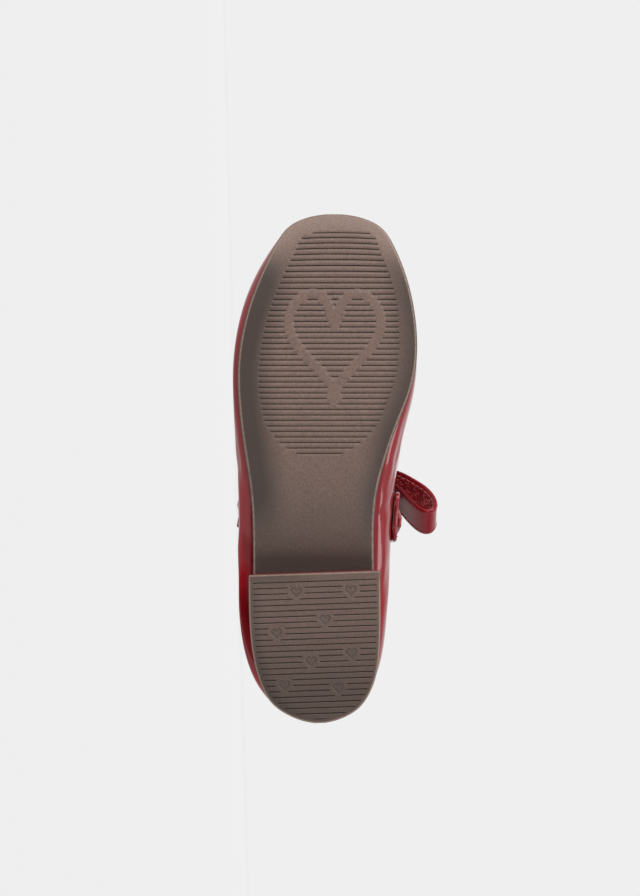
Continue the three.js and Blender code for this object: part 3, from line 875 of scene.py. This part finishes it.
# Strap over the instep
strap = {
    "back": 6.7, "front": 8.3, "thickness": 1.7, "clearance": 0.6, "overlapOuter": 0.2,
    "overlapInner": 0.55, "riseBack": 24.0, "riseFront": 11.0, "lean": 6.5, "outerPart": 0.16,
    "innerPart": 0.2, "steps": 150, "columns": 15, "rounded": 0.045,
    "stitch": {"length": 2.1, "gap": 0.7, "radius": 0.22},
}


def strapSide(station, v, inner):
    u = stations - station if inner else station
    return upperOutside(u, v) + upperNormal(u, v) * strap["clearance"]


def strapMiddle(a, w):
    a, w = np.broadcast_arrays(np.asarray(a, float), np.asarray(w, float))
    a = np.clip(a, 0, 1)
    station = strap["back"] + (strap["front"] - strap["back"]) * w
    outerPart, innerPart = strap["outerPart"], strap["innerPart"]
    outerV = np.clip(1 - strap["overlapOuter"] * (1 - a / outerPart), 0, 1)
    innerV = np.clip(1 - strap["overlapInner"] * (a - 1 + innerPart) / innerPart, 0, 1)
    onOuter, onInner = strapSide(station, outerV, False), strapSide(station, innerV, True)
    t = ((a - outerPart) / (1 - outerPart - innerPart))[..., None]
    start, end = strapSide(station, 1.0, False), strapSide(station, 1.0, True)
    rise = (strap["riseBack"] + (strap["riseFront"] - strap["riseBack"]) * w)[..., None] * 4
    leave = unit(start - strapSide(station, 0.96, False)) * rise
    arrive = unit(strapSide(station, 0.96, True) - end) * rise
    over = ((2 * t ** 3 - 3 * t ** 2 + 1) * start + (t ** 3 - 2 * t ** 2 + t) * leave
            + (3 * t ** 2 - 2 * t ** 3) * end + (t ** 3 - t ** 2) * arrive)
    over[..., 0] -= strap["lean"] * w * np.sin(np.pi * t[..., 0]) ** 2
    over = np.where((a > 1 - innerPart)[..., None], onInner, over)
    return np.where((a < outerPart)[..., None], onOuter, over)


def strapNormal(a, w):
    a, w = np.broadcast_arrays(np.asarray(a, float), np.asarray(w, float))
    run = strapMiddle(np.minimum(1, a + 0.01), w) - strapMiddle(np.maximum(0, a - 0.01), w)
    side = strapMiddle(a, np.minimum(1, w + 0.05)) - strapMiddle(a, np.maximum(0, w - 0.05))
    return unit(np.cross(side, run))


def bandProfile(thickness, columns, edge=0.035):
    # a band's section: share of the width and depth, its edges rounded
    inside = np.linspace(edge, 1 - edge, columns)
    under = [(w, 0.0) for w in inside]
    over = [(w, thickness) for w in inside[::-1]]
    low, middle, high = 0.12 * thickness, 0.5 * thickness, 0.88 * thickness
    turn = 0.35 * edge
    turnFront = [(1 - turn, low), (1.0, middle), (1 - turn, high)]
    turnBack = [(turn, high), (0.0, middle), (turn, low)]
    return np.array(under + turnFront + over + turnBack)


def liningSlots(rows, size, columns, closed, caps=0, underside=True):
    # one face of the band is lined, and its edges and other face are patent
    one = np.zeros(size, int)
    if underside:
        one[:columns - 1] = 1
    else:
        one[columns + 3:2 * columns + 2] = 1
    return np.concatenate([np.tile(one, rows if closed else rows - 1), np.zeros(caps, int)])


def makeStrap():
    profile = bandProfile(strap["thickness"], strap["columns"])
    at = np.linspace(0, 1, strap["steps"])
    at = np.unique(np.concatenate([at, [0.001, 0.003, 0.997, 0.999]]))
    end = np.minimum(1, np.minimum(at, 1 - at) / strap["rounded"])
    narrow = (0.3 * (1 - np.sqrt(1 - (1 - end) ** 2.4)))[:, None]
    w = narrow + profile[:, 0] * (1 - 2 * narrow)
    half = 0.5 * strap["thickness"]
    lift = half + (profile[:, 1] - half) * np.where(end < 0.03, 0.7, 1.0)[:, None]
    a = np.broadcast_to(at[:, None], w.shape)
    points = strapMiddle(a, w) + strapNormal(a, w) * lift[..., None]
    size = len(profile)
    faces = bandFaces(len(at), size)
    slots = liningSlots(len(at), size, strap["columns"], False, 2)
    makePiece("strap_band", points, faces, [patentRed, liningBeige], slots, ["instep_strap"])
    parts = []
    fine = np.linspace(0.03, 0.97, 400)
    for w in (0.1, 0.9):
        normal = strapNormal(fine, np.full(fine.shape, w))
        path = strapMiddle(fine, np.full(fine.shape, w)) + normal * (strap["thickness"] + 0.03)
        parts.append(stitchRun(path, normal, strap["stitch"]))
    points, faces = joinParts(parts)
    makePiece("strap_stitches", points, faces, [threadRed])


makeStrap()

# Ribbon bow on the strap: two loops, the knot band and two tails, patent outside, lined inside
bow = {
    "centre": 8.5, "forward": 2.0, "crown": 0.56, "ribbonWidth": 14.0, "thickness": 1.5,
    "reach": 39.5, "depth": 15.5, "outerShare": 0.985, "knotWidth": 11.0, "knotDepth": 9.5,
    "knotLength": 12.5, "tailWidth": 13.0, "columns": 17, "steps": 150,
    # The fold keys set the painted shade in the loops: where it starts and how far it runs from the
    # knot, its strength, and its stripes along the pleats.
    "gather": 0.38, "pleat": 0.55, "pleats": 2.5, "foldShadeFrom": 22, "foldShadeRun": 16, "fold": 0.6,
    "foldShadeWave": 0.2, "strapWidth": 24, "stitch": {"length": 1.5, "gap": 0.8},
    # a loop's closed centre line, as shares of its reach and its depth
    "loopOut": [0.159, 0.329, 0.494, 0.62, 0.734, 0.861, 0.977, 1.01, 0.927, 0.772, 0.57, 0.329,
                0.177],
    "loopLift": [0.042, 0.481, 0.829, 0.687, 0.229, -0.113, -0.061, 0.274, 0.713, 1.061, 1.384,
                 1.177, 0.565],
}
loopStations = len(bow["loopOut"])
crownA = strap["outerPart"] + (1 - strap["outerPart"] - strap["innerPart"]) * bow["crown"]
away = unit(strapNormal(crownA, 0.5) * np.array([1.0, 0.0, 1.0]))
acrossDir = np.array([0.0, 1.0, 0.0])
backUp = -np.cross(away, acrossDir)
strapTop = strapMiddle(crownA, 0.5) + strapNormal(crownA, 0.5) * strap["thickness"]
tailLayer = last["gap"] + bow["thickness"]
knotCentre = np.array([strapTop[0], bow["centre"], strapTop[2]])
knotCentre = knotCentre + away * (tailLayer + bow["knotDepth"] / 2) - backUp * bow["forward"]


def bowPoint(out, width, lift):
    out, width, lift = np.broadcast_arrays(out, width, lift)
    return knotCentre + out[..., None] * acrossDir + width[..., None] * backUp + lift[..., None] * away


def loopCentre(at, share):
    return (ringColumn(bow["loopOut"], at) * bow["reach"] * share,
            ringColumn(bow["loopLift"], at) * bow["depth"])


def loopSurface(at, w, depth, side, share):
    out, lift = loopCentre(at, share)
    nextOut, nextLift = loopCentre(at + 0.05, share)
    runOut, runLift = nextOut - out, nextLift - lift
    size = np.hypot(runOut, runLift)
    runOut, runLift = runOut / size, runLift / size
    near = 1 - smooth(out / (0.55 * bow["reach"]))
    gather = 1 - bow["gather"] * near
    wave = np.cos(w * 2 * np.pi * bow["pleats"])
    pleat = bow["pleat"] * near * wave * smooth((out - 5.5) / 3)
    depth = depth + pleat
    return bowPoint(side * (out - runLift * depth), (w - 0.5) * bow["ribbonWidth"] * gather,
                    lift - bow["knotDepth"] / 2 + bow["thickness"] + runOut * depth)


def ribbonStitches(surfaceAt, places, shape, radius):
    # rows of stitches on both faces of a ribbon, at these shares of its width
    parts = []
    for w in places:
        for depth, raised in ((bow["thickness"], 1), (0.0, -1)):
            path = surfaceAt(np.full(shape, w), np.full(shape, depth + 0.03 * raised))
            off = surfaceAt(np.full(shape, w), np.full(shape, depth + raised))
            parts.append(stitchRun(path, unit(off - path), {**bow["stitch"], "radius": radius}))
    return parts


def makeLoop(node, name, side, share):
    profile = bandProfile(bow["thickness"], bow["columns"], 0.045)
    at = np.arange(bow["steps"]) * loopStations / bow["steps"]
    points = loopSurface(at[:, None], profile[:, 0], profile[:, 1], side, share)
    size = len(profile)
    slots = liningSlots(len(at), size, bow["columns"], True, underside=False)
    out = np.broadcast_to(loopCentre(at, share)[0][:, None], points.shape[:2])
    # Painted shade: the fold attribute darkens each loop near the knot and fades further out, in stripes
    # that follow the pleats.
    wave = 0.5 + 0.5 * np.cos(profile[:, 0] * 2 * np.pi * bow["pleats"] + 0.6)
    inner = 1 - smooth((out - bow["foldShadeFrom"]) / bow["foldShadeRun"])
    fold = inner * (bow["fold"] + bow["foldShadeWave"] * wave)
    makePiece(name, points, bandFaces(len(at), size, True), [ribbonRed, liningRed], slots, [node],
              {"fold": fold})
    fine = np.linspace(0.6, loopStations - 1.2, 500)
    parts = ribbonStitches(lambda w, depth: loopSurface(fine, w, depth, side, share), (0.11, 0.89),
                           fine.shape, 0.2)
    points, faces = joinParts(parts)
    pale = np.concatenate([np.full(len(part[1]), 1 - k % 2) for k, part in enumerate(parts)])
    makePiece(name + "_stitches", points, faces, [threadRed, threadPale], pale)


makeLoop("bow_loop_medial", "bow_loop_inner_side", 1, 1.0)
makeLoop("bow_loop_lateral", "bow_loop_outer_side", -1, bow["outerShare"])


def makeKnot():
    rows, around = 40, 72
    angle = np.arange(around) / around * 2 * np.pi
    corner = lambda f: np.sign(f) * np.abs(f) ** 0.7
    rings = []
    for k in range(rows + 1):
        share = 2 * k / rows - 1
        swell = 0.72 + 0.28 * math.sqrt(max(0.0, 1 - 0.96 * share ** 2))
        fold = 1 - 0.035 * (0.5 + 0.5 * np.cos(share * np.pi * 3.2 + 0.5 * np.sin(angle)))
        rings.append(bowPoint(corner(np.cos(angle)) * bow["knotWidth"] / 2 * swell * fold,
                              np.full(around, share * bow["knotLength"] / 2),
                              corner(np.sin(angle)) * bow["knotDepth"] / 2 * swell * fold))
    makePiece("bow_knot_band", np.concatenate(rings), bandFaces(rows + 1, around),
              [patentRed], replaces=["bow_knot"])


makeKnot()


def tailSurface(t, w, depth, fromA, toA, flare):
    a = fromA + (toA - fromA) * t
    narrow = 1 - 0.65 * np.clip((t - 0.88) / 0.12, 0, 1)
    middle = 0.5 - 0.1 * t
    across = middle + (w - 0.5) * bow["tailWidth"] / bow["strapWidth"] * narrow
    lift = strap["thickness"] + last["gap"] + depth + flare * t ** 2 * (1 - 0.5 * across)
    return strapMiddle(a, across) + strapNormal(a, across) * lift[..., None]


def makeTail(node, name, fromA, toA, flare):
    profile = bandProfile(bow["thickness"], bow["columns"], 0.06)
    times = np.linspace(0, 1, 60)[:, None]
    points = tailSurface(times, profile[:, 0], profile[:, 1], fromA, toA, flare)
    size = len(profile)
    slots = liningSlots(len(times), size, bow["columns"], False, 2)
    makePiece(name, points, bandFaces(len(times), size), [patentRed, liningRed], slots,
              [node])
    fine = np.linspace(0.2, 0.9, 200)
    parts = ribbonStitches(lambda w, depth: tailSurface(fine, w, depth, fromA, toA, flare),
                           (0.14, 0.86), fine.shape, 0.18)
    points, faces = joinParts(parts)
    makePiece(name + "_stitches", points, faces, [threadRed])


makeTail("bow_tail_medial", "bow_tail_inner_side", crownA + 0.02, 0.93, 0.0)
makeTail("bow_tail_lateral", "bow_tail_outer_side", crownA - 0.02, 0.17, 5.1)
print("bow made")

# Camera, square on to the sole with the toe up, just above the floor
view = {
    "distance": 900.0, "along": 102.7, "across": 1.86, "pixelSize": 0.372, "height": 896,
    "sensor": 36.0, "lowest": 0.0015,  # the camera stops this far above the floor, in metres
}


def makeCamera():
    place = toRow([view["along"], view["across"], -view["distance"]])
    place[2] = max(place[2], view["lowest"])
    data = bpy.data.cameras.new("camera")
    data.sensor_width = view["sensor"]
    data.lens = view["distance"] / view["pixelSize"] / view["height"] * view["sensor"]
    data.clip_start = 0.01
    data.clip_end = 50
    camera = bpy.data.objects.new("camera", data)
    right, up = Vector(innerDir), Vector(toeDir)
    turn = Matrix((right, up, right.cross(up))).transposed().to_4x4()
    camera.matrix_world = Matrix.Translation(Vector(place)) @ turn
    bpy.context.scene.collection.objects.link(camera)
    bpy.context.scene.camera = camera
    print("camera height above the floor, mm", round(place[2] * 1000, 2))


makeCamera()

# Floor and backdrop of one even pale grey, and the studio's soft lights
studio = {
    "grey": 0.8632, "floorWidth": 8.0, "near": -2.4, "far": 1.6, "wallHeight": 4.0, "shadow": 0.06,
    "floorLight": 1.19, "ambient": 0.45,
    "lights": [  # name, place, size across and up in metres, power
        ("key", (-1.0, -0.75, 0.55), (0.5, 0.9), 12.5),
        ("side", (0.25, -0.5, 1.1), (0.9, 0.35), 5.0),
        ("low", (0.9, -0.9, 0.35), (0.5, 0.5), 2.5),
    ],
}


def paper(name, glow, albedo):
    material = bpy.data.materials.new(name)
    material.use_nodes = True
    shader = material.node_tree.nodes["Principled BSDF"]
    shader.inputs["Base Color"].default_value = (albedo, albedo, albedo, 1)
    shader.inputs["Roughness"].default_value = 1.0
    shader.inputs["Specular IOR Level"].default_value = 0.0
    shader.inputs["Emission Color"].default_value = (1, 1, 1, 1)
    shader.inputs["Emission Strength"].default_value = glow
    return material


def makeSheet(name, corners, material):
    mesh = bpy.data.meshes.new(name)
    mesh.from_pydata(corners, [], [(0, 1, 2, 3)])
    mesh.materials.append(material)
    sheet = bpy.data.objects.new(name, mesh)
    bpy.context.scene.collection.objects.link(sheet)


side, near, far = studio["floorWidth"] / 2, studio["near"], studio["far"]
makeSheet("floor", [(-side, near, 0), (side, near, 0), (side, far, 0), (-side, far, 0)],
          paper("floorPaper", studio["grey"] - studio["floorLight"] * studio["shadow"],
                studio["shadow"]))
makeSheet("backdrop", [(-side, far, 0), (side, far, 0), (side, far, studio["wallHeight"]),
                       (-side, far, studio["wallHeight"])],
          paper("backdropPaper", studio["grey"], 0.0))


def makeLight(name, place, target, size, power):
    data = bpy.data.lights.new(name, "AREA")
    data.shape = "RECTANGLE"
    data.size, data.size_y = size
    data.energy = power
    light = bpy.data.objects.new(name, data)
    light.location = place
    aim = Vector(target) - Vector(place)
    light.rotation_euler = aim.to_track_quat("-Z", "Y").to_euler()
    bpy.context.scene.collection.objects.link(light)


shoeMiddle = (0.0, 0.0, 0.035)
for name, place, size, power in studio["lights"]:
    makeLight(name, place, shoeMiddle, size, power)
world = bpy.data.worlds.new("studio")
world.use_nodes = True
world.node_tree.nodes["Background"].inputs["Color"].default_value = (1, 1, 1, 1)
world.node_tree.nodes["Background"].inputs["Strength"].default_value = studio["ambient"]
bpy.context.scene.world = world
bpy.context.scene.view_settings.view_transform = "Standard"
print("studio ready")
